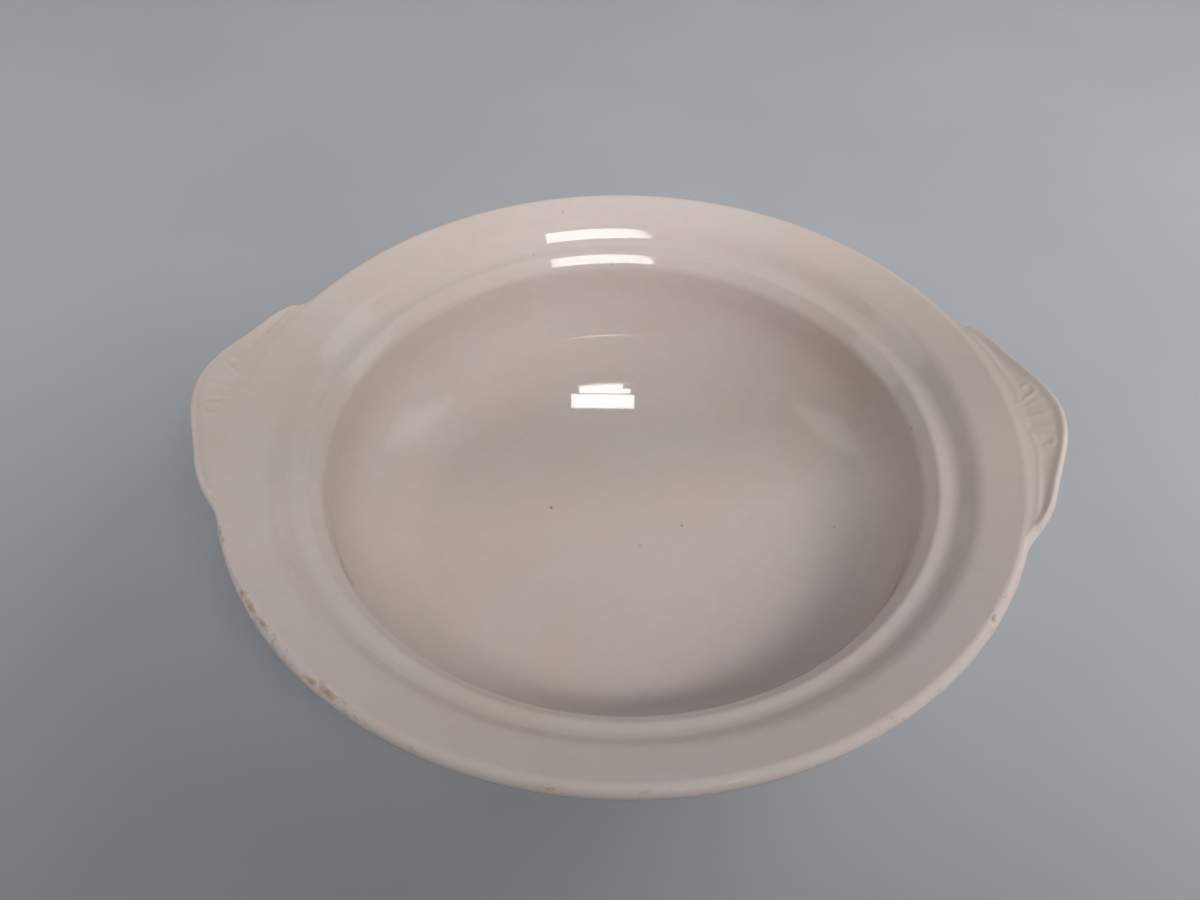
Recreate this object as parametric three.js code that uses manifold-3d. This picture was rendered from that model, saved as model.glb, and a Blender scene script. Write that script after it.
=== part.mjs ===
// Round porcelain serving bowl with a lid seat, a sloping flange and two moulded lug handles.
//
// The pieces are the ones the potter makes and lutes together with slip before the glaze firing:
// the bowl itself, its foot ring, the two lugs and the sprigged scroll relief on each lug.
//
// Millimetres, +Z up. The origin is on the table, under the middle of the bowl, and the lugs
// point along X.

import * as THREE from 'three';
import { mergeVertices } from 'three/addons/utils/BufferGeometryUtils.js';
import Module from 'manifold-3d';

const wasm = await Module();
wasm.setup();

const { degToRad, smoothstep } = THREE.MathUtils;

// ---------------------------------------------------------------------------------------------
// Driving dimensions
// ---------------------------------------------------------------------------------------------

const LUTING_GAP = 0.35;          // the film of slip between two luted pieces
const ROUND_SEGMENTS = 72;        // facets round every turned piece, one each 5 degrees

const RIM_RADIUS = 120;           // outside of the rim, away from the lugs
const RIM_HEIGHT = 65;            // crest of the rim above the table
const RIM_ROUND = 2.2;            // the rim's edge is a full round, so the wall is twice this

const FLANGE_SLOPE = degToRad(26);
const FLANGE_INNER_RADIUS = 105.3;

const SEAT_OUTER_RADIUS = 101.5;  // the ledge that a lid would sit on
const SEAT_OUTER_HEIGHT = 54.2;
const SEAT_INNER_RADIUS = 96.2;
const SEAT_INNER_HEIGHT = 52.6;

const FLOOR_RADIUS = 64.8;        // flat floor of the well
const FLOOR_HEIGHT = 13;
const FLOOR_THICKNESS = 6;
const WALL_THICKNESS = 5.4;

const FOOT_OUTER_RADIUS = 64.5;   // where the foot ring meets the base
const FOOT_INNER_RADIUS = 54;
const FOOT_TREAD_OUTER = 61.4;    // the flat that stands on the table
const FOOT_TREAD_INNER = 56.6;

const LUG_START_RADIUS = 119;     // the lug's top surface starts level with the rim
const LUG_SLOPE = degToRad(24.5);
const LUG_THICKNESS = 4.4;
const LUG_SHOULDER = 4.6;         // how far the broad shoulders stand out of the rim circle
const LUG_ARCH = 5.9;             // how much further the rounded arch in the middle reaches
const LUG_HALF_ANGLE = 21.5;      // degrees each side of X

const BEAD_RADIUS = 1.1;          // the rolled borders of the relief
const SCROLL_RADIUS = 0.95;
const FLUTE_RADIUS = 1.0;

// ---------------------------------------------------------------------------------------------
// Materials
// ---------------------------------------------------------------------------------------------

const creamGlaze = new THREE.MeshStandardMaterial({ color: 0xd9cdbf, roughness: 0.12, metalness: 0 });
const lugGlaze = new THREE.MeshStandardMaterial({ color: 0xd9cec1, roughness: 0.14, metalness: 0 });
const reliefGlaze = new THREE.MeshStandardMaterial({ color: 0xdcd1c4, roughness: 0.16, metalness: 0 });
const footGlaze = new THREE.MeshStandardMaterial({ color: 0xcfc2b2, roughness: 0.35, metalness: 0 });

// ---------------------------------------------------------------------------------------------
// Solids
// ---------------------------------------------------------------------------------------------

// A closed geometry as a solid that can be joined and cut.
function toSolid(geometry) {
  const bare = geometry.clone();
  bare.deleteAttribute('normal');
  bare.deleteAttribute('uv');
  const welded = mergeVertices(bare, 1e-4);
  const index = welded.getIndex().array;
  const triVerts = [];
  for (let i = 0; i < index.length; i += 3) {
    const [a, b, c] = [index[i], index[i + 1], index[i + 2]];
    if (a !== b && b !== c && c !== a) triVerts.push(a, b, c);
  }
  const mesh = new wasm.Mesh({
    numProp: 3,
    vertProperties: Float32Array.from(welded.getAttribute('position').array),
    triVerts: Uint32Array.from(triVerts),
  });
  return new wasm.Manifold(mesh);
}

// A solid as a geometry that a mesh can show.
function toGeometry(solid) {
  const mesh = solid.getMesh();
  const geometry = new THREE.BufferGeometry();
  geometry.setAttribute('position', new THREE.BufferAttribute(mesh.vertProperties, 3));
  geometry.setIndex(new THREE.BufferAttribute(mesh.triVerts, 1));
  geometry.computeVertexNormals();
  return geometry;
}

// A profile of radius and height, turned about Z.
function turned(points) {
  return new THREE.LatheGeometry(points, ROUND_SEGMENTS).rotateX(Math.PI / 2);
}

// ---------------------------------------------------------------------------------------------
// Bowl
// ---------------------------------------------------------------------------------------------

// Middle of the rim's round, in radius and height.
const rimCentre = new THREE.Vector2(RIM_RADIUS - RIM_ROUND, RIM_HEIGHT - RIM_ROUND);

// The profile runs out under the base, up the outside, over the rim and down the inside.
function bowlGeometry() {
  const baseHeight = FLOOR_HEIGHT - FLOOR_THICKNESS;
  const innerWidth = SEAT_INNER_RADIUS - FLOOR_RADIUS;
  const innerDepth = SEAT_INNER_HEIGHT - FLOOR_HEIGHT;
  const shoulderAngle = degToRad(-12);
  const flangeDirection = new THREE.Vector2(Math.cos(FLANGE_SLOPE), Math.sin(FLANGE_SLOPE));
  const underRim = rimCentre.clone();
  underRim.x += RIM_ROUND * flangeDirection.y;
  underRim.y -= RIM_ROUND * flangeDirection.x;
  const flangeRoot = underRim.clone().addScaledVector(flangeDirection, -10.3);

  const profile = new THREE.Path();
  profile.moveTo(0, baseHeight);
  profile.lineTo(FLOOR_RADIUS, baseHeight);
  profile.absellipse(FLOOR_RADIUS, SEAT_INNER_HEIGHT,
    innerWidth + WALL_THICKNESS, innerDepth + FLOOR_THICKNESS, -Math.PI / 2, shoulderAngle);
  profile.quadraticCurveTo(SEAT_OUTER_RADIUS + 2.4, SEAT_INNER_HEIGHT + 0.4,
    flangeRoot.x, flangeRoot.y);
  profile.lineTo(underRim.x, underRim.y);
  profile.absarc(rimCentre.x, rimCentre.y, RIM_ROUND,
    FLANGE_SLOPE - Math.PI / 2, FLANGE_SLOPE + Math.PI / 2);
  const overRim = profile.currentPoint.clone();
  const riserHeight = overRim.y - (overRim.x - FLANGE_INNER_RADIUS) * Math.tan(FLANGE_SLOPE);
  profile.lineTo(FLANGE_INNER_RADIUS, riserHeight);
  profile.quadraticCurveTo(SEAT_OUTER_RADIUS + 1.2, SEAT_OUTER_HEIGHT + 1.4,
    SEAT_OUTER_RADIUS, SEAT_OUTER_HEIGHT);
  profile.lineTo(SEAT_INNER_RADIUS, SEAT_INNER_HEIGHT);
  profile.absellipse(FLOOR_RADIUS, SEAT_INNER_HEIGHT, innerWidth, innerDepth, 0, -Math.PI / 2, true);
  profile.lineTo(0, FLOOR_HEIGHT);
  return turned(profile.getPoints(5));
}

// ---------------------------------------------------------------------------------------------
// Foot ring
// ---------------------------------------------------------------------------------------------

function footRingGeometry() {
  const top = FLOOR_HEIGHT - FLOOR_THICKNESS - LUTING_GAP;
  const treadBevel = 0.8;
  const corners = [
    [FOOT_TREAD_INNER, 0],
    [FOOT_TREAD_OUTER, 0],
    [FOOT_TREAD_OUTER + treadBevel, treadBevel],
    [FOOT_OUTER_RADIUS, top],
    [FOOT_INNER_RADIUS, top],
    [FOOT_TREAD_INNER - treadBevel, treadBevel],
    [FOOT_TREAD_INNER, 0],
  ];
  return turned(corners.map(([radius, height]) => new THREE.Vector2(radius, height)));
}

// ---------------------------------------------------------------------------------------------
// Lugs
// ---------------------------------------------------------------------------------------------

// Outline of a lug in plan: its radius at an angle in degrees from X. A rounded arch stands
// between two broad shoulders, which run out into the rim circle.
function lugRadius(angle) {
  const shoulder = 1 - smoothstep(Math.abs(angle), 14, 25);
  const arch = 1 - smoothstep(Math.abs(angle), 0, 16);
  return RIM_RADIUS + LUG_SHOULDER * shoulder + LUG_ARCH * arch;
}

// Height of a lug's top surface at a radius.
function lugHeight(radius) {
  return RIM_HEIGHT + (radius - LUG_START_RADIUS - 0.5) * Math.tan(LUG_SLOPE);
}

// A place in plan from an angle in degrees and a radius.
function inPlan(angle, radius) {
  return new THREE.Vector2(radius * Math.cos(degToRad(angle)), radius * Math.sin(degToRad(angle)));
}

function lugSolid() {
  const tipRadius = RIM_RADIUS + LUG_SHOULDER + LUG_ARCH + 1;
  const drop = LUG_THICKNESS / Math.cos(LUG_SLOPE);
  const slab = toSolid(turned([
    new THREE.Vector2(LUG_START_RADIUS, lugHeight(LUG_START_RADIUS) - drop),
    new THREE.Vector2(tipRadius, lugHeight(tipRadius) - drop),
    new THREE.Vector2(tipRadius, lugHeight(tipRadius)),
    new THREE.Vector2(LUG_START_RADIUS, lugHeight(LUG_START_RADIUS)),
    new THREE.Vector2(LUG_START_RADIUS, lugHeight(LUG_START_RADIUS) - drop),
  ]));

  const outlineSteps = 34;
  const outline = new THREE.Shape();
  outline.moveTo(...inPlan(-LUG_HALF_ANGLE, LUG_START_RADIUS - 8));
  for (let i = 0; i <= outlineSteps; i += 1) {
    const angle = LUG_HALF_ANGLE * (2 * i / outlineSteps - 1);
    outline.lineTo(...inPlan(angle, lugRadius(angle)));
  }
  outline.lineTo(...inPlan(LUG_HALF_ANGLE, LUG_START_RADIUS - 8));
  const prism = toSolid(new THREE.ExtrudeGeometry(outline, { depth: RIM_HEIGHT * 2, bevelEnabled: false }));

  const clearance = new THREE.Path();
  clearance.absarc(rimCentre.x, rimCentre.y, RIM_ROUND + LUTING_GAP, -Math.PI, Math.PI);
  const rimHollow = toSolid(turned(clearance.getPoints(12)));
  return slab.intersect(prism).subtract(rimHollow);
}

// ---------------------------------------------------------------------------------------------
// Scroll relief
// ---------------------------------------------------------------------------------------------

// A round rib along a curve through places given as [angle in degrees, radius] on the lug.
function rib(places, ribRadius, steps) {
  const points = places.map(([angle, radius]) => {
    const spot = inPlan(angle, radius);
    return new THREE.Vector3(spot.x, spot.y, Math.max(lugHeight(radius), RIM_HEIGHT) + LUTING_GAP);
  });
  const section = new THREE.Shape();
  section.absarc(0, 0, ribRadius, 0, 2 * Math.PI);
  return toSolid(new THREE.ExtrudeGeometry(section, {
    steps,
    curveSegments: 3,
    extrudePath: new THREE.CatmullRomCurve3(points),
  }));
}

// The same rib and its mirror image on the other side of the lug's middle.
function ribPair(places, ribRadius, steps) {
  const mirrored = places.map(([angle, radius]) => [-angle, radius]);
  return rib(places, ribRadius, steps).add(rib(mirrored, ribRadius, steps));
}

function reliefSolid() {
  const borderAngles = [-20.5, -18, -14, -10, -6, -3, 0, 3, 6, 10, 14, 18, 20.5];
  const border = rib(borderAngles.map((angle) => [angle, lugRadius(angle) - 1.3]), BEAD_RADIUS, 30);
  const innerBead = rib([-21, -14, -7, 0, 7, 14, 21].map((angle) => [angle, RIM_RADIUS - 0.2]),
    BEAD_RADIUS * 0.8, 18);

  const longScroll = ribPair([[3, 123.2], [5.2, 126.4], [7.6, 125.2], [11.5, 123], [16.5, 121]],
    SCROLL_RADIUS, 14);
  const shortScroll = ribPair([[2.6, 121.2], [4.6, 123.4], [8, 122.2], [12, 120.2]], SCROLL_RADIUS, 10);
  const middleFlute = rib([[0, 120.4], [0, 124], [0, 128.6]], FLUTE_RADIUS, 4);
  const sideFlutes = ribPair([[0.8, 120.4], [1.7, 124], [2.6, 128.2]], FLUTE_RADIUS, 4);

  // The relief's back lies on the lug and the rim, a film of slip above them.
  const slip = LUTING_GAP / Math.cos(LUG_SLOPE);
  const flangeFoot = RIM_RADIUS - 12;
  const outside = RIM_RADIUS + LUG_SHOULDER + LUG_ARCH + 4;
  const backing = toSolid(turned([
    new THREE.Vector2(flangeFoot, RIM_HEIGHT - 12),
    new THREE.Vector2(outside, RIM_HEIGHT - 12),
    new THREE.Vector2(outside, lugHeight(outside) + slip),
    new THREE.Vector2(LUG_START_RADIUS + 0.5, RIM_HEIGHT + slip),
    new THREE.Vector2(rimCentre.x - RIM_ROUND * Math.sin(FLANGE_SLOPE), RIM_HEIGHT + slip),
    new THREE.Vector2(flangeFoot, RIM_HEIGHT + slip - 4),
    new THREE.Vector2(flangeFoot, RIM_HEIGHT - 12),
  ]));
  return border.add(innerBead).add(longScroll).add(shortScroll)
    .add(middleFlute).add(sideFlutes).subtract(backing);
}

// ---------------------------------------------------------------------------------------------
// Assembly
// ---------------------------------------------------------------------------------------------

const servingBowl = new THREE.Group();

function addPiece(parent, name, geometry, material) {
  const piece = new THREE.Mesh(geometry, material);
  piece.name = name;
  parent.add(piece);
}

addPiece(servingBowl, 'bowl_body', toGeometry(toSolid(bowlGeometry())), creamGlaze);
addPiece(servingBowl, 'foot_ring', toGeometry(toSolid(footRingGeometry())), footGlaze);

const lugGeometry = toGeometry(lugSolid());
const reliefGeometry = toGeometry(reliefSolid());
for (const [side, turn] of [['right', 0], ['left', Math.PI]]) {
  const lug = new THREE.Group();
  lug.rotation.z = turn;
  addPiece(lug, `lug_handle_${side}`, lugGeometry, lugGlaze);
  addPiece(lug, `lug_relief_${side}`, reliefGeometry, reliefGlaze);
  servingBowl.add(lug);
}

export default servingBowl;
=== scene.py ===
"""A round porcelain serving bowl: turned body, foot ring, and two lugs with sprigged scroll relief.

Metres, +Z up, the bowl stands on z = 0 with its lugs along X.
"""

import math

import bmesh
import bpy
import numpy as np
from mathutils import Matrix, Vector


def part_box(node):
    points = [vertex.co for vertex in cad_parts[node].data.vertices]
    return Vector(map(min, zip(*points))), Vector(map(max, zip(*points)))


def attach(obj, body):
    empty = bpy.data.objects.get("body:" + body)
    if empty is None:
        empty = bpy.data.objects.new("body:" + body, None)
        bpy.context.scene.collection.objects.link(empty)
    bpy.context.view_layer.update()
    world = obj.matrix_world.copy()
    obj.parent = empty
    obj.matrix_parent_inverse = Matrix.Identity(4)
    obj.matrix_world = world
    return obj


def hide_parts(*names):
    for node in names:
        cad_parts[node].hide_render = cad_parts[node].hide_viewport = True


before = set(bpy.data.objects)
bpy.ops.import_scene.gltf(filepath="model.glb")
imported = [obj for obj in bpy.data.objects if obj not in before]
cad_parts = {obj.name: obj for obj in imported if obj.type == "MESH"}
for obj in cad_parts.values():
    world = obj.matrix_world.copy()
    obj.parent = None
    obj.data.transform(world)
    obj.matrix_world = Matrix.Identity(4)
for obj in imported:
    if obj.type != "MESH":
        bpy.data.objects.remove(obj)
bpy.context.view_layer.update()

MM = 0.001

# ------------------------------------------------------------------------------------------------
# Sizes. The rim, base and foot come from the frame; the rest are the bowl's own measures.
# ------------------------------------------------------------------------------------------------

rim_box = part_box("bowl_body")
foot_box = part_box("foot_ring")

RIM_RADIUS = round(rim_box[1].x, 3)
RIM_HEIGHT = round(rim_box[1].z, 3)
BASE_HEIGHT = rim_box[0].z
FOOT_RADIUS = foot_box[1].x
FOOT_TOP = BASE_HEIGHT + 0.3 * MM

RIM_ROUND = 2.2 * MM             # the rim is a full round, so the wall there is twice this
FLANGE_SLOPE = math.radians(26)
RIM_CENTRE = (RIM_RADIUS - RIM_ROUND, RIM_HEIGHT - RIM_ROUND)

FLANGE_INNER_RADIUS = 106.6 * MM
SEAT_OUTER_RADIUS = 101.5 * MM   # the ledge that a lid would sit on
SEAT_OUTER_DROP = 11.3 * MM      # below the rim's crest
SEAT_INNER_RADIUS = 97.2 * MM
SEAT_INNER_DROP = 12.1 * MM
WALL_TOP_RADIUS = 93.4 * MM      # below the ledge's eased edge, where the steep wall starts
WALL_TOP_DROP = 16.5 * MM
FLOOR_RADIUS = 64.8 * MM
FLOOR_HEIGHT = BASE_HEIGHT + 6 * MM
INSIDE_CORNER = FLOOR_RADIUS + 25.2 * MM    # where the lines of the wall and the floor would meet
OUTSIDE_CORNER = FLOOR_RADIUS + 31.0 * MM   # the same on the outside, below the wall
FLANGE_UNDERSIDE = 15.4 * MM     # length of the flange's underside, from the rim in to the wall

LUG_SLOPE = math.radians(24.5)
LUG_SHOULDER = 4.6 * MM          # how far the broad shoulders stand out of the rim circle
LUG_ARCH = 5.9 * MM              # how much further the arch in the middle reaches
LUG_HALF_ANGLE = 25.0            # degrees each side of X
LUG_EDGE = 1.6 * MM              # rounding of the lug's edge
CREST_LIFT = 0.7 * MM            # brings the lug's crests level with the crest of the rim
FIELD_SINK = 0.85 * MM           # the lug's field lies this far below the crest of its border

ROUND_STEPS = 440                # steps round every turned piece
HUG = 0.4 * MM                   # a straight stretch has an extra ring this close to each end


# ------------------------------------------------------------------------------------------------
# Turned pieces
# ------------------------------------------------------------------------------------------------

def rounded_outline(corners, longest=6.5 * MM):
    """A section through corners given as (radius, height, rounding), the roundings as arcs."""
    points = [Vector(corners[0][:2])]
    for before, corner, after in zip(corners, corners[1:], corners[2:]):
        here = Vector(corner[:2])
        back = (Vector(before[:2]) - here).normalized()
        ahead = (Vector(after[:2]) - here).normalized()
        turn = math.pi - back.angle(ahead)
        reach = corner[2] * math.tan(turn / 2)
        middle = here + (back + ahead).normalized() * corner[2] / math.cos(turn / 2)
        start = here + back * reach
        side = math.copysign(1, back.x * ahead.y - back.y * ahead.x)
        finest = math.radians(2.5 if corner[2] > 3 * MM else 5)
        steps = max(4, math.ceil(turn / finest))
        for i in range(steps + 1):
            swing = Matrix.Rotation(-side * turn * i / steps, 2)
            points.append(middle + swing @ (start - middle))
    points.append(Vector(corners[-1][:2]))

    outline = [points[0]]
    for a, b in zip(points, points[1:]):
        length = (b - a).length
        pieces = max(1, math.ceil(length / longest))
        shares = [(i + 1) / pieces for i in range(pieces)]
        if length > 4 * HUG:
            shares += [HUG / length, 1 - HUG / length]
        outline += [a.lerp(b, share) for share in sorted(shares)]
    return outline


def spun(outline, closed=False):
    """A body turned about Z from its section."""
    bm = bmesh.new()
    verts = [bm.verts.new((p.x, 0, p.y)) for p in outline]
    edges = [bm.edges.new(pair) for pair in zip(verts, verts[1:])]
    if closed:
        edges.append(bm.edges.new((verts[-1], verts[0])))
    bmesh.ops.spin(bm, geom=verts + edges, axis=(0, 0, 1), cent=(0, 0, 0), angle=2 * math.pi,
                   steps=ROUND_STEPS, use_merge=True)
    bmesh.ops.remove_doubles(bm, verts=bm.verts, dist=1e-6)
    bmesh.ops.recalc_face_normals(bm, faces=bm.faces)
    return bm


def body_outline():
    """Out under the base, up the outside, over the rim, across the flange and down the well."""
    along = Vector((math.cos(FLANGE_SLOPE), math.sin(FLANGE_SLOPE)))
    above = Vector((-along.y, along.x))
    rim = Vector(RIM_CENTRE)
    under_rim = rim + RIM_ROUND * (along - above)
    over_rim = rim + RIM_ROUND * (along + above)
    flange_run = (over_rim.x - FLANGE_INNER_RADIUS) / along.x
    flange_foot = over_rim - along * flange_run
    rim_rounding = 0.999 * RIM_ROUND   # a hair under, so the two arcs never quite meet
    elbow = under_rim - along * FLANGE_UNDERSIDE
    return rounded_outline([
        (0, BASE_HEIGHT, 0),
        (OUTSIDE_CORNER, BASE_HEIGHT, 35 * MM),
        (elbow.x, elbow.y, 9 * MM),
        (under_rim.x, under_rim.y, rim_rounding),
        (over_rim.x, over_rim.y, rim_rounding),
        (flange_foot.x, flange_foot.y, 10 * MM),
        (SEAT_OUTER_RADIUS, RIM_HEIGHT - SEAT_OUTER_DROP, 6 * MM),
        (SEAT_INNER_RADIUS, RIM_HEIGHT - SEAT_INNER_DROP, 2.4 * MM),
        (WALL_TOP_RADIUS, RIM_HEIGHT - WALL_TOP_DROP, 5 * MM),
        (INSIDE_CORNER, FLOOR_HEIGHT, 29 * MM),
        (0, FLOOR_HEIGHT, 0),
    ])


def foot_outline():
    """Down the outside of the ring, across its tread and up the inside."""
    waist, tread_edge = 3 * MM, 0.9 * MM
    return rounded_outline([
        (FOOT_RADIUS + 2.6 * MM, FOOT_TOP, 0),
        (FOOT_RADIUS - 1.2 * MM, FOOT_TOP - 2.2 * MM, waist),
        (FOOT_RADIUS - 2.9 * MM, 0, tread_edge),
        (FOOT_RADIUS - 8.1 * MM, 0, tread_edge),
        (FOOT_RADIUS - 9.6 * MM, FOOT_TOP - 2.0 * MM, waist),
        (FOOT_RADIUS - 13.0 * MM, FOOT_TOP, 0),
    ])


# ------------------------------------------------------------------------------------------------
# Lugs and their relief
# ------------------------------------------------------------------------------------------------

def ease(x, low, high):
    """Smooth step from 0 at low to 1 at high."""
    t = np.clip((x - low) / (high - low), 0, 1)
    return t * t * (3 - 2 * t)


def soft_max(a, b, blend):
    """The larger of two heights, with the valley between them filled by a blend this wide."""
    gap = np.clip(0.5 + 0.5 * (a - b) / blend, 0, 1)
    return b + (a - b) * gap + blend * gap * (1 - gap)


def lug_radius(angle):
    """Outline of a lug in plan, from an angle in degrees off X."""
    side = np.abs(angle)
    return (RIM_RADIUS + LUG_SHOULDER * (1 - ease(side, 14, LUG_HALF_ANGLE))
            + LUG_ARCH * (1 - ease(side, 0, 16)))


def rim_height(radius):
    """Top of the rim and flange at a radius."""
    inside = RIM_CENTRE[0] - RIM_ROUND * math.sin(FLANGE_SLOPE)
    offset = np.clip(radius, inside, RIM_RADIUS) - RIM_CENTRE[0]
    crown = RIM_CENTRE[1] + np.sqrt(np.maximum(RIM_ROUND ** 2 - offset ** 2, 0))
    return crown - np.maximum(inside - radius, 0) * math.tan(FLANGE_SLOPE)


def lug_plane(radius):
    """Height of the crests on a lug at a radius."""
    return RIM_HEIGHT + CREST_LIFT + (radius - RIM_RADIUS + 0.5 * MM) * math.tan(LUG_SLOPE)


def presence(angle):
    """1 over the lug, falling to 0 where its outline runs out into the rim."""
    return ease(lug_radius(angle) - RIM_RADIUS, 0, 2.4 * MM)


def lug_equator(angle):
    """Radius of the outermost line of a lug's rounded edge, just inside the rim at its ends."""
    return lug_radius(angle) + (0.7 * presence(angle) - 0.2) * MM


# Ribs of the relief on one half of a lug: places as (degrees off X, mm out from the rim circle),
# then half width and height in mm. The other half mirrors them.
RIBS = [
    ([(0, 0.4), (0, 3.0), (0, 6.4)], 1.20, 0.36),
    ([(1.5, 0.6), (2.2, 3.2), (2.6, 6.0)], 1.05, 0.32),
    ([(2.9, 1.4), (3.6, 3.2), (3.9, 4.8), (4.7, 6.0), (5.9, 5.2), (5.7, 3.6)], 1.00, 0.46),
    ([(6.6, 6.0), (8.2, 5.6), (10.0, 4.7), (11.6, 3.9)], 1.10, 0.34),
    ([(3.4, 0.9), (6.4, 1.5), (10.0, 1.0), (15.0, 0.3), (19.0, -0.2)], 1.15, 0.46),
]
RIB_BLEND = 0.30                 # mm, fills the valley where two ribs meet

# Dimples between the ribs: degrees off X, mm out from the rim circle, half width and depth in mm.
DIMPLES = [(4.8, 4.3, 1.05, 0.38), (1.5, 1.7, 0.9, 0.22), (8.0, 3.2, 1.3, 0.20)]


def curve_through(places, steps=10):
    """A smooth run of points through a few places."""
    p = np.array([places[0]] + list(places) + [places[-1]], float)
    run = []
    for i in range(1, len(p) - 2):
        for t in np.arange(steps) / steps:
            run.append(0.5 * (2 * p[i] + (p[i + 1] - p[i - 1]) * t
                              + (2 * p[i - 1] - 5 * p[i] + 4 * p[i + 1] - p[i + 2]) * t ** 2
                              + (3 * p[i] - p[i - 1] - 3 * p[i + 1] + p[i + 2]) * t ** 3))
    run.append(p[-2])
    return np.array(run)


def mm_from_middle(angle):
    """Distance in mm round the lug from its middle, from an angle in degrees off X."""
    return np.radians(angle) * (RIM_RADIUS / MM + 4)


def relief_height(angle, radius):
    """How far the modelled relief stands above the lug's field."""
    across = mm_from_middle(np.abs(angle))
    out = (radius - RIM_RADIUS) / MM
    height = np.zeros_like(out)
    for places, width, rise in RIBS:
        run = curve_through([(mm_from_middle(a), r) for a, r in places])
        nearest = np.full(out.shape, 1e9)
        for a, b in zip(run, run[1:]):
            step = b - a
            t = ((across - a[0]) * step[0] + (out - a[1]) * step[1]) / max(step @ step, 1e-9)
            t = np.clip(t, 0, 1)
            gap = np.hypot(across - a[0] - t * step[0], out - a[1] - t * step[1])
            nearest = np.minimum(nearest, gap)
        height = soft_max(height, rise * np.exp(-(nearest / width) ** 2), RIB_BLEND)
    for a, r, width, depth in DIMPLES:
        gap = np.hypot(across - mm_from_middle(a), out - r)
        height = height - depth * np.exp(-(gap / width) ** 2)
    return height * MM


def lug_top(angle, radius):
    """Height of a lug's modelled top, which melts into the rim and flange at its inner side."""
    inward = lug_equator(angle) - radius
    border = np.exp(-((inward - LUG_EDGE) / (1.45 * MM)) ** 2) * (FIELD_SINK + 0.1 * MM)
    sink = FIELD_SINK * (0.15 + 0.85 * ease(radius, RIM_RADIUS - 1.6 * MM, RIM_RADIUS + 1.8 * MM))
    field = lug_plane(radius) - sink
    worked = presence(angle) * ease(radius, RIM_RADIUS - 1.5 * MM, RIM_RADIUS + 1.0 * MM)
    raised = field + relief_height(angle, radius) * worked
    top = soft_max(raised, field + border, 0.35 * MM)
    rim = rim_height(radius)
    share = presence(angle) * ease(radius, RIM_RADIUS - 5.4 * MM, RIM_RADIUS - 2.2 * MM)
    hidden = 0.03 * MM + 0.07 * MM * (1 - presence(angle))
    return rim + (soft_max(rim, top, 0.9 * MM) - rim) * share - hidden


def swept(sections, angles):
    """A closed body from a loop of (radius, height) rows at each angle in degrees."""
    bm = bmesh.new()
    rows = sections.shape[1]
    verts = [bm.verts.new((r, 0, z)) for r, z in sections[0]]
    edges = [bm.edges.new((verts[i], verts[(i + 1) % rows])) for i in range(rows)]
    bmesh.ops.spin(bm, geom=verts + edges, axis=(0, 0, 1), cent=(0, 0, 0),
                   angle=math.radians(angles[-1] - angles[0]), steps=len(angles) - 1, use_merge=False)
    turns = np.radians(angles)[:, None]
    places = np.stack([sections[..., 0] * np.cos(turns), sections[..., 0] * np.sin(turns),
                       sections[..., 1]], axis=-1).reshape(-1, 3)
    for vert, co in zip(bm.verts, places):
        vert.co = co
    bmesh.ops.holes_fill(bm, edges=[e for e in bm.edges if e.is_boundary], sides=0)
    bmesh.ops.recalc_face_normals(bm, faces=bm.faces)
    return bm


SKIN = 0.7 * MM                    # thickness of the sprigged layer
INNER_EDGE = 5.6 * MM              # the lug starts this far inside the rim circle
LUG_STEPS = 400


def across_lug(angles, steps):
    """Radii from inside the rim out to the crest of the border, and the top's heights there."""
    start = RIM_RADIUS - INNER_EDGE
    crest = lug_equator(angles)[:, None] - LUG_EDGE
    radii = start + (crest - start) * np.linspace(0, 1, steps)
    return radii, lug_top(angles[:, None] + 0 * radii, radii)


def edge_arc(radii, heights, size, turns):
    """Part of the round edge that hangs from the crest of the border."""
    turns = np.radians(turns)
    middle = heights[:, -1:] - LUG_EDGE
    return np.stack([radii[:, -1:] + size * np.sin(turns), middle + size * np.cos(turns)], axis=-1)


def relief_sections(angles):
    """The relief: its modelled top, round the edge to its equator, and back below."""
    radii, heights = across_lug(angles, 40)
    top = np.stack([radii, heights], axis=-1)
    below = np.stack([radii, heights - SKIN], axis=-1)[:, ::-3]
    over = edge_arc(radii, heights, LUG_EDGE, np.linspace(0, 90, 9)[1:])
    back = edge_arc(radii, heights, LUG_EDGE - SKIN, np.linspace(90, 0, 9)[:-1])
    return np.concatenate([top, over, back, below], axis=1)


def handle_sections(angles):
    """The lug itself: from the edge's equator under its round, in to the rim and back on top."""
    radii, heights = across_lug(angles, 12)
    under_round = edge_arc(radii, heights, LUG_EDGE, np.linspace(90, 180, 9))
    start_height = heights[:, :1] - 4 * MM
    share = np.linspace(0, 1, 12)[1:]
    under_radii = radii[:, -1:] + (radii[:, :1] - radii[:, -1:]) * share
    under_heights = (heights[:, -1:] - 2 * LUG_EDGE) * (1 - share) + start_height * share
    under = np.stack([under_radii, under_heights], axis=-1)
    top = np.stack([radii, heights - 1.6 * SKIN], axis=-1)
    over = edge_arc(radii, heights, LUG_EDGE - 1.3 * SKIN, np.linspace(20, 90, 5))
    return np.concatenate([under_round, under, top, over], axis=1)


# ------------------------------------------------------------------------------------------------
# Shape that the kiln and the years gave it
# ------------------------------------------------------------------------------------------------

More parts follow.
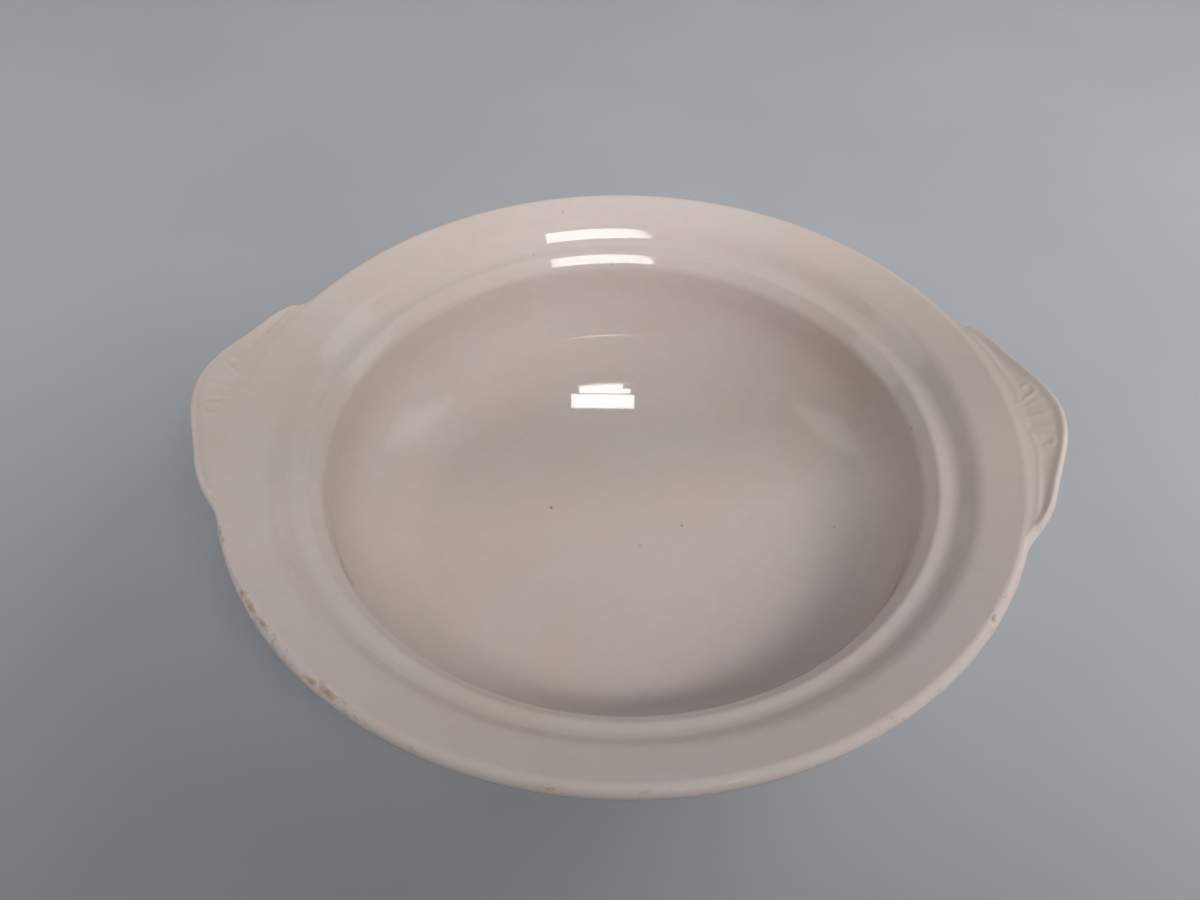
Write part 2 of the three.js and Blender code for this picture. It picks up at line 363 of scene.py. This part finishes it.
# Places where the glaze has flaked off the rim: degrees round from X, mm out from the rim's middle
# line, length and width in mm.
FLAKES = [
    (217.6, 1.1, 1.6, 0.7),
    (220.3, 0.9, 3.8, 0.9),
    (223.4, 0.7, 2.4, 0.8),
    (233.8, 1.2, 1.7, 0.8),
    (236.4, 0.8, 3.6, 1.0),
    (206.7, 1.4, 1.7, 0.8),
    (264.0, 1.6, 1.2, 0.6),
    (274.4, 1.2, 1.1, 0.6),
    (323.1, 0.4, 1.5, 0.8),
]
FLAKE_DEPTH = 0.22 * MM

# Stretches of rim that years of knocks have roughened: degrees round from X, and how badly.
WORN_STRETCHES = [(200, 212, 0.75), (214, 245, 1.0), (245, 300, 0.55), (300, 332, 0.8),
                  (150, 172, 0.35), (20, 60, 0.3)]


def kiln_warp(co):
    """The slight sag and oval that firing gives the whole bowl."""
    around = np.arctan2(co[:, 1], co[:, 0])
    out = np.hypot(co[:, 0], co[:, 1])
    share = np.clip(out / RIM_RADIUS, 0, 1) ** 3
    oval = 0.0035 * np.cos(2 * (around - math.radians(55))) + 0.002 * np.cos(3 * (around + 0.4))
    moved = co.copy()
    moved[:, :2] *= (1 + share * oval)[:, None]
    moved[:, 2] += share * np.clip(co[:, 2] / RIM_HEIGHT, 0, 1) * 0.25 * MM * np.sin(2 * around + 0.8)
    return moved


def flaked(co):
    """1 in the middle of a flaked spot on the rim, falling to 0 at its edge."""
    around = np.degrees(np.arctan2(co[:, 1], co[:, 0])) % 360
    out = (np.hypot(co[:, 0], co[:, 1]) - RIM_CENTRE[0]) / MM
    near_rim = co[:, 2] > RIM_HEIGHT - 4 * MM
    most = np.zeros(len(co))
    for angle, middle, length, width in FLAKES:
        along = ((around - angle + 180) % 360 - 180) * math.pi / 180 * RIM_RADIUS / MM
        far = np.hypot(along / length, (out - middle) / width)
        most = np.maximum(most, np.where(near_rim, 1 - far, 0))
    return np.clip(most, 0, 1)


def knocked(co):
    """How badly the rim's crown is roughened: 0 for sound glaze."""
    around = np.degrees(np.arctan2(co[:, 1], co[:, 0])) % 360
    out = (np.hypot(co[:, 0], co[:, 1]) - RIM_CENTRE[0]) / MM
    crown = ease(out, -1.2, 0.6) * ease(co[:, 2], RIM_HEIGHT - 3.2 * MM, RIM_HEIGHT - 1.6 * MM)
    most = np.zeros(len(co))
    for start, end, strength in WORN_STRETCHES:
        stretch = ease(around, start - 3, start + 3) * (1 - ease(around, end - 3, end + 3))
        most = np.maximum(most, strength * stretch)
    return most * crown


def set_attribute(mesh, name, values):
    """One number for each point of a mesh, for its glaze to read."""
    attribute = mesh.attributes.new(name, "FLOAT", "POINT")
    attribute.data.foreach_set("value", values.astype(np.float32))


def place(bm, name, turn=0.0):
    """A piece's mesh where it lies, with the firing's warp and the rim's lost flakes."""
    mesh = bpy.data.meshes.new(name)
    bm.to_mesh(mesh)
    mesh.transform(Matrix.Rotation(turn, 4, "Z"))
    co = np.empty(len(mesh.vertices) * 3, np.float64)
    mesh.vertices.foreach_get("co", co)
    co = co.reshape(-1, 3)
    lost = flaked(co)
    set_attribute(mesh, "flaked", lost)
    set_attribute(mesh, "knocked", knocked(co))
    co[:, 2] -= FLAKE_DEPTH * ease(lost, 0.05, 0.6)
    mesh.vertices.foreach_set("co", kiln_warp(co).ravel())
    mesh.update()
    mesh.shade_smooth()
    piece = bpy.data.objects.new(name, mesh)
    bpy.context.scene.collection.objects.link(piece)
    return piece


# ------------------------------------------------------------------------------------------------
# Glazes
# ------------------------------------------------------------------------------------------------

class Nodes:
    """A material's node tree, with short calls to add and join nodes."""

    def __init__(self, name):
        self.material = bpy.data.materials.new(name)
        self.material.use_nodes = True
        self.tree = self.material.node_tree
        self.shader = self.tree.nodes["Principled BSDF"]

    def add(self, kind, inputs=(), **settings):
        node = self.tree.nodes.new("ShaderNode" + kind)
        for key, value in settings.items():
            setattr(node, key, value)
        for key, value in dict(inputs).items():
            self.put(node.inputs[key], value)
        return node

    def put(self, socket, value):
        if isinstance(value, bpy.types.NodeSocket):
            self.tree.links.new(value, socket)
        else:
            socket.default_value = value

    def noise(self, scale, detail=3, roughness=0.5, vector=None, stretch=None):
        place_from = vector or self.place
        if stretch:
            place_from = self.add("Mapping", {"Vector": place_from, "Scale": stretch}).outputs["Vector"]
        return self.add("TexNoise", {"Vector": place_from, "Scale": scale, "Detail": detail,
                                     "Roughness": roughness}).outputs["Fac"]

    def range(self, value, low, high, to_low=0.0, to_high=1.0, smooth=True):
        return self.add("MapRange", {"Value": value, "From Min": low, "From Max": high,
                                     "To Min": to_low, "To Max": to_high},
                        interpolation_type="SMOOTHSTEP" if smooth else "LINEAR").outputs["Result"]

    def math(self, operation, a, b=0.5):
        node = self.add("Math", operation=operation)
        self.put(node.inputs[0], a)
        self.put(node.inputs[1], b)
        return node.outputs[0]

    def blend(self, share, a, b):
        node = self.add("Mix", data_type="RGBA")
        self.put(node.inputs["Factor"], share)
        self.put(node.inputs["A"], a)
        self.put(node.inputs["B"], b)
        return node.outputs["Result"]

    @property
    def place(self):
        if not hasattr(self, "_place"):
            self._place = self.add("TexCoord").outputs["Object"]
        return self._place


CREAM = (0.640, 0.571, 0.543, 1)
CREAM_WARM = (0.630, 0.548, 0.493, 1)
CREAM_PINK = (0.655, 0.571, 0.558, 1)
BARE_BODY = (0.400, 0.285, 0.205, 1)
BARE_EDGE = (0.540, 0.430, 0.345, 1)
BARE_TREAD = (0.520, 0.400, 0.280, 1)
SPECK = (0.100, 0.060, 0.040, 1)
FLOOR_PAINT = (0.420, 0.445, 0.475, 1)
FLOOR_PAINT_PALE = (0.440, 0.465, 0.495, 1)
GLAZE_IOR = 1.52

# Iron specks in the well: degrees round from X, mm out from the axis, size in mm and strength.
IRON_SPECKS = [
    (179, 24, 0.75, 0.65),
    (347, 22, 0.85, 0.50),
    (297, 16, 1.30, 0.18),
    (100, 55, 0.50, 0.50),
    (112, 100, 0.55, 0.40),
    (104, 112, 0.50, 0.40),
]


def glaze_material(name, bare_tread=False):
    """Clear gloss glaze on a cream body: clouds of tone, iron specks, pinholes, wear and flakes."""
    n = Nodes(name)
    across = n.add("SeparateXYZ", {"Vector": n.place})
    flat = n.add("CombineXYZ", {"X": across.outputs["X"], "Y": across.outputs["Y"]}).outputs[0]
    height = across.outputs["Z"]

    clouds = n.range(n.noise(22, 4), 0.35, 0.68)
    tone = n.blend(clouds, CREAM_WARM, CREAM)
    blush = n.range(n.noise(9, 2), 0.42, 0.66)
    tone = n.blend(n.math("MULTIPLY", blush, 0.6), tone, CREAM_PINK)
    mottle = n.range(n.noise(260, 3, 0.65), 0.30, 0.72, 0.0, 0.13)
    tone = n.blend(mottle, tone, BARE_EDGE)

    # Iron specks: faint ones scattered all over, and a few darker ones at their own places.
    cells = n.add("TexVoronoi", {"Vector": n.place, "Scale": 150.0, "Randomness": 1.0}, feature="F1")
    chance = n.add("SeparateColor", {"Color": cells.outputs["Color"]}).outputs["Red"]
    dot = n.range(cells.outputs["Distance"], 0.030, 0.080, 1.0, 0.0)
    few = n.range(chance, 0.955, 0.970)
    speck = n.math("MULTIPLY", n.math("MULTIPLY", dot, few), 0.4)
    wobble = n.range(n.noise(1400, 2), 0.3, 0.7, -0.25 * MM, 0.25 * MM, smooth=False)
    for angle, out, size, strength in IRON_SPECKS:
        turn = math.radians(angle)
        middle = (out * MM * math.cos(turn), out * MM * math.sin(turn), 0)
        gap = n.add("VectorMath", {0: flat, 1: middle}, operation="DISTANCE").outputs["Value"]
        spot = n.range(n.math("ADD", gap, wobble), 0.3 * size * MM, size * MM, strength, 0.0)
        speck = n.math("MAXIMUM", speck, spot)
    tone = n.blend(speck, tone, SPECK)

    # Wear on the rim: a ragged edge of thin glaze round each flake's bare body, and small pecks.
    lost = n.add("Attribute", attribute_name="flaked").outputs["Fac"]
    worn = n.add("Attribute", attribute_name="knocked").outputs["Fac"]
    crumbs = n.noise(750, 4, 0.7)
    ragged = n.math("ADD", lost, n.range(crumbs, 0.2, 0.8, -0.42, 0.42, smooth=False))
    edge = n.math("MULTIPLY", n.range(ragged, 0.12, 0.34), n.range(lost, 0.02, 0.16))
    bare = n.math("MULTIPLY", n.range(ragged, 0.52, 0.80, 0.0, 0.8), n.range(lost, 0.02, 0.16))
    roughened = n.math("ADD", n.noise(480, 3, 0.65), n.math("MULTIPLY", worn, 0.22))
    pecks = n.math("MULTIPLY", n.range(roughened, 0.76, 0.84), n.range(worn, 0.05, 0.3))
    edge = n.math("MAXIMUM", edge, n.math("MULTIPLY", pecks, 0.7))
    tone = n.blend(edge, tone, BARE_EDGE)
    tone = n.blend(bare, tone, BARE_BODY)
    soot = n.math("MULTIPLY", bare, n.range(n.noise(1300, 2), 0.60, 0.68, 0.0, 0.5))
    tone = n.blend(soot, tone, SPECK)

    # Gloss: hazier where hands and cutlery have rubbed it, dull where the body is bare.
    haze = n.range(n.noise(60, 5, 0.65), 0.45, 0.80, 0.035, 0.085)
    scratches = n.range(n.noise(70, 3, 0.6, stretch=(1, 9, 1)), 0.66, 0.74, 0.0, 0.05)
    roughness = n.math("ADD", haze, scratches)
    out = n.add("VectorMath", {0: flat}, operation="LENGTH").outputs["Value"]
    spooned = n.math("MULTIPLY", n.range(out, 64 * MM, 70 * MM), n.range(out, 76 * MM, 88 * MM, 1.0, 0.0))
    spooned = n.math("MULTIPLY", spooned, n.range(height, 12 * MM, 13 * MM))
    roughness = n.math("ADD", roughness, n.math("MULTIPLY", spooned, 0.16))
    roughness = n.math("ADD", roughness, n.math("MULTIPLY", n.math("MAXIMUM", bare, pecks), 0.5))
    if bare_tread:
        tread = n.range(height, 0.5 * MM, 1.0 * MM, 1.0, 0.0)
        tone = n.blend(tread, tone, BARE_TREAD)
        roughness = n.math("ADD", roughness, n.math("MULTIPLY", tread, 0.55))

    # Ripple of the glaze, pinholes, and the rough ground of the flakes.
    ripple = n.noise(34, 2, 0.4)
    pores = n.range(n.noise(1500, 2), 0.28, 0.36, 0.0, 1.0)
    grit = n.math("MULTIPLY", n.noise(2200, 4, 0.7), bare)
    ground = n.math("SUBTRACT", grit, n.math("MULTIPLY", pecks, 0.5))
    swell = n.add("Bump", {"Strength": 1.0, "Distance": 0.08 * MM, "Height": ripple})
    pitted = n.add("Bump", {"Strength": 0.35, "Distance": 0.02 * MM, "Height": pores,
                            "Normal": swell.outputs["Normal"]})
    rough = n.add("Bump", {"Strength": 0.8, "Distance": 0.3 * MM, "Height": ground,
                           "Normal": pitted.outputs["Normal"]})

    n.put(n.shader.inputs["Base Color"], tone)
    n.put(n.shader.inputs["Roughness"], roughness)
    n.put(n.shader.inputs["Normal"], rough.outputs["Normal"])
    n.put(n.shader.inputs["IOR"], GLAZE_IOR)
    return n.material


def floor_paint():
    """Pale painted floor."""
    n = Nodes("pale_floor_paint")
    tone = n.blend(n.range(n.noise(6, 3), 0.35, 0.65), FLOOR_PAINT, FLOOR_PAINT_PALE)
    n.put(n.shader.inputs["Base Color"], tone)
    n.put(n.shader.inputs["Roughness"], 0.6)
    bump = n.add("Bump", {"Strength": 0.1, "Distance": 0.5 * MM, "Height": n.noise(180, 3)})
    n.put(n.shader.inputs["Normal"], bump.outputs["Normal"])
    return n.material


# ------------------------------------------------------------------------------------------------
# Assembly
# ------------------------------------------------------------------------------------------------

cream_glaze = glaze_material("cream_glaze")
relief_glaze = glaze_material("relief_glaze")
foot_glaze = glaze_material("foot_glaze", bare_tread=True)


def finish_piece(piece, node, material):
    """Glaze a piece, say which body it rides on, and hide the CAD node it stands for."""
    piece.data.materials.append(material)
    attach(piece, "root")
    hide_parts(node)


finish_piece(place(spun(body_outline()), "turned_bowl"), "bowl_body", cream_glaze)
finish_piece(place(spun(foot_outline(), closed=True), "turned_foot"), "foot_ring",
             foot_glaze)

lug_angles = np.linspace(-LUG_HALF_ANGLE, LUG_HALF_ANGLE, LUG_STEPS + 1)
handle_shape = swept(handle_sections(lug_angles), lug_angles)
relief_shape = swept(relief_sections(lug_angles), lug_angles)
for side, turn in [("right", 0.0), ("left", math.pi)]:
    finish_piece(place(handle_shape, f"lug_{side}", turn), f"lug_handle_{side}",
                 cream_glaze)
    finish_piece(place(relief_shape, f"relief_{side}", turn), f"lug_relief_{side}",
                 relief_glaze)


# ------------------------------------------------------------------------------------------------
# Floor, light and camera
# ------------------------------------------------------------------------------------------------

def make_floor():
    """The painted board that the bowl stands on."""
    bm = bmesh.new()
    bmesh.ops.create_grid(bm, x_segments=1, y_segments=1, size=4)
    mesh = bpy.data.meshes.new("floor")
    bm.to_mesh(mesh)
    bm.free()
    floor = bpy.data.objects.new("floor", mesh)
    bpy.context.scene.collection.objects.link(floor)
    mesh.materials.append(floor_paint())


def panel(name, middle, target, width, height, radiance, colour=(1, 1, 1), spread=math.pi):
    """A flat soft light whose brightness is given as radiance, whatever its size and spread."""
    light = bpy.data.lights.new(name, "AREA")
    light.shape = "RECTANGLE"
    light.size = width
    light.size_y = height
    light.spread = spread
    gathered = 1 - spread / 2 / math.tan(spread / 2)
    light.energy = radiance * math.pi * width * height * gathered
    light.color = colour
    lamp = bpy.data.objects.new(name, light)
    lamp.location = middle
    lamp.rotation_euler = (Vector(target) - Vector(middle)).to_track_quat("-Z", "Y").to_euler()
    lamp.visible_camera = False
    bpy.context.scene.collection.objects.link(lamp)
    return lamp


VIEW_TURN = 2.5                   # degrees that the viewer stands round from straight in front
SOFT_WHITE = (1.0, 0.985, 0.965)
COOL_WHITE = (0.96, 0.98, 1.0, 1)
ROOM_STRENGTH = 0.19              # light that comes from the room all round
WINDOW_RADIANCE = 10.5
SKYLIGHT_RADIANCE = 15
SKYLIGHT_SPREAD = math.radians(16)


def aimed(azimuth, elevation, start, distance):
    """A place at this distance from start, its azimuth in degrees from the view towards the right."""
    a, e = math.radians(azimuth - VIEW_TURN), math.radians(elevation)
    return (start[0] + distance * math.cos(e) * math.sin(a),
            start[1] + distance * math.cos(e) * math.cos(a),
            start[2] + distance * math.sin(e))


# Panes of the skylight: name, middle, width and height, in mm.
SKYLIGHT_PANES = [
    ("near_pane", (-9.3, 74.8, 32.6), 26.5, 5.85),
    ("far_pane_foot", (-8.6, 77.8, 29.4), 21.5, 2.0),
    ("far_pane_top", (-9.8, 79.1, 28.1), 17.5, 1.6),
]
SKYLIGHT_FACES = Vector((0.030, -0.719, -0.695))


def light_studio():
    """Windows behind the viewer, ahead and at the sides for the gloss, and one broad soft fill."""
    world = bpy.data.worlds.new("soft_room")
    bpy.context.scene.world = world
    world.use_nodes = True
    background = world.node_tree.nodes["Background"]
    background.inputs["Color"].default_value = COOL_WHITE
    background.inputs["Strength"].default_value = ROOM_STRENGTH
    riser = aimed(0, 0, (0, 0, RIM_HEIGHT - 8 * MM), 0.103)
    well = (0, 0, FLOOR_HEIGHT + 20 * MM)
    window = panel("window_pane", aimed(171, 46, riser, 1.6), riser, 0.80, 0.130, WINDOW_RADIANCE)
    window.visible_diffuse = False
    # Small panes low over the well, because the ledge would hide a light ahead from the floor.
    for name, place_in_well, width, height in SKYLIGHT_PANES:
        middle = Vector(place_in_well) * MM
        pane = panel(f"skylight_{name}", middle, middle + SKYLIGHT_FACES, width * MM, height * MM,
                     SKYLIGHT_RADIANCE, spread=SKYLIGHT_SPREAD)
        pane.visible_diffuse = False
    fill = panel("room_fill", aimed(171, 46, well, 1.7), well, 1.4, 0.68, 13.5, SOFT_WHITE)
    fill.visible_glossy = False
    side_fill = panel("right_fill", aimed(80, 35, well, 1.2), well, 0.85, 0.85, 1.25, SOFT_WHITE)
    side_fill.visible_glossy = False
    for name, azimuth in [("right", 72), ("left", -72)]:
        panel(f"{name}_side_pane", aimed(azimuth, 27, well, 1.2), well, 0.36, 1.0, 0.8)


def add_card(name, width, height, middle, bow=0.0):
    """A dark upright card, unseen by the camera, that keeps light off a part of the bowl."""
    bm = bmesh.new()
    bmesh.ops.create_grid(bm, x_segments=16, y_segments=1, size=0.5)
    bmesh.ops.scale(bm, verts=bm.verts, vec=(width, height, 1))
    bmesh.ops.rotate(bm, verts=bm.verts, cent=(0, 0, 0), matrix=Matrix.Rotation(math.pi / 2, 3, "X"))
    bmesh.ops.translate(bm, verts=bm.verts, vec=middle)
    for vert in bm.verts:
        vert.co.z += bow * (vert.co.x + 10 * MM) ** 2
    bmesh.ops.rotate(bm, verts=bm.verts, cent=(0, 0, 0),
                     matrix=Matrix.Rotation(math.radians(VIEW_TURN), 3, "Z"))
    mesh = bpy.data.meshes.new(name)
    bm.to_mesh(mesh)
    bm.free()
    n = Nodes(f"{name}_black")
    n.put(n.shader.inputs["Base Color"], (0.03, 0.03, 0.03, 1))
    mesh.materials.append(n.material)
    card = bpy.data.objects.new(name, mesh)
    bpy.context.scene.collection.objects.link(card)
    card.visible_camera = False


def add_cards():
    """One over the lens hides the window from the well's back wall; one stands for the viewer."""
    add_card("lens_card", 0.160, 0.046, (0.036, -0.14, RIM_HEIGHT + 0.188), bow=2.0)
    add_card("viewer_card", 0.60, 0.60, (0, -0.5, 0.3002))


def add_camera():
    """The viewer stands close in front and above, looking down into the well."""
    camera = bpy.data.cameras.new("camera")
    camera.lens = 26.94
    camera.sensor_width = 36
    viewer = bpy.data.objects.new("camera", camera)
    around = Matrix.Rotation(math.radians(VIEW_TURN), 4, "Z")
    stand = Matrix.Translation((-7.1 * MM, -196.2 * MM, RIM_HEIGHT + 192.15 * MM))
    tilt = Matrix.Rotation(math.radians(42.7), 4, "X")
    roll = Matrix.Rotation(math.radians(0.4), 4, "Z")
    viewer.matrix_world = around @ stand @ tilt @ roll
    bpy.context.scene.collection.objects.link(viewer)
    bpy.context.scene.camera = viewer


make_floor()
light_studio()
add_cards()
add_camera()
bpy.context.scene.view_settings.view_transform = "Standard"
